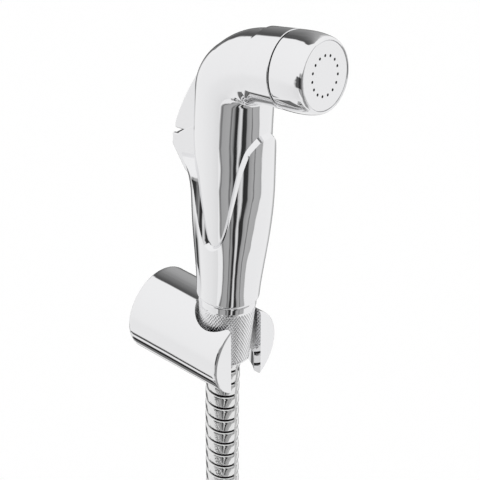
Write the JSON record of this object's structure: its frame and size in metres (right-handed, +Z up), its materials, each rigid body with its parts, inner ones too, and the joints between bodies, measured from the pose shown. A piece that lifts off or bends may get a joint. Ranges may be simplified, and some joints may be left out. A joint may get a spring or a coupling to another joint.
{
  "type": "handheld bidet shower",
  "caption": "Chromed handheld bidet shower with a thumb lever, seated in a round slotted wall holder, on a spiral metal hose that ends in a swivel nut.",
  "frame": {"origin": "centre of the holder's flat face against the wall", "axes": "+Y into the wall, +Z up, +X to the right of someone who faces the wall"},
  "size_m": [0.1992, 0.0795, 0.387],
  "materials": {
    "chromed_metal": "polished",
    "bright_brass": "machined",
    "steel": "plain",
    "white_plastic": "moulded",
    "grey_plastic": "moulded",
    "black_rubber": "matt"
  },
  "bodies": {
    "shower": {"holder_body": "chromed_metal", "handset_body": "chromed_metal", "spray_cap": "chromed_metal", "spray_face": "chromed_metal", "hose_nut": "chromed_metal", "hose": "chromed_metal", "hose_coil": "chromed_metal", "hose_tail": "chromed_metal", "inlet_stem": "bright_brass", "valve_cap": "bright_brass", "hose_insert": "bright_brass", "end_insert": "bright_brass", "wall_plate": "steel", "grub_screw": "steel", "lever_pin": "steel", "valve_spring": "steel", "inlet_tube": "white_plastic", "outlet_tube": "white_plastic", "flow_diffuser": "white_plastic", "head_insert": "white_plastic", "valve_body": "grey_plastic", "spindle_seal": "black_rubber", "face_seal": "black_rubber", "inlet_washer": "black_rubber", "hose_tie": "black_rubber", "end_washer": "black_rubber"},
    "thumb_lever": {"trigger_lever": "chromed_metal"},
    "valve_stem": {"valve_spindle": "bright_brass", "poppet_seal": "black_rubber"},
    "swivel_nut": {"end_nut": "chromed_metal"}
  },
  "joints": [
    {"name": "lever_press", "type": "hinge", "parent": "shower", "child": "thumb_lever", "pos_m": [0.00901, -0.02511, 0.11768], "axis": [-0.9956, -0.0349, 0.0871], "range_deg": [0, 8]},
    {"name": "valve_lift", "type": "slide", "parent": "shower", "child": "valve_stem", "axis": [0.0872, 0, 0.9962], "range_m": [0, 0.00147], "stiffness_N_per_m": 400, "springref_m": -0.0025, "deforming": ["valve_spring"]},
    {"name": "end_nut_spin", "type": "hinge", "parent": "shower", "child": "swivel_nut", "pos_m": [-0.00276, -0.067, -0.2123], "axis": [0, 0, 1], "continuous": true}
  ],
  "couplings": [
    {"joint": "lever_press", "follows": "valve_lift", "rad_per_m": 95.238}
  ]
}
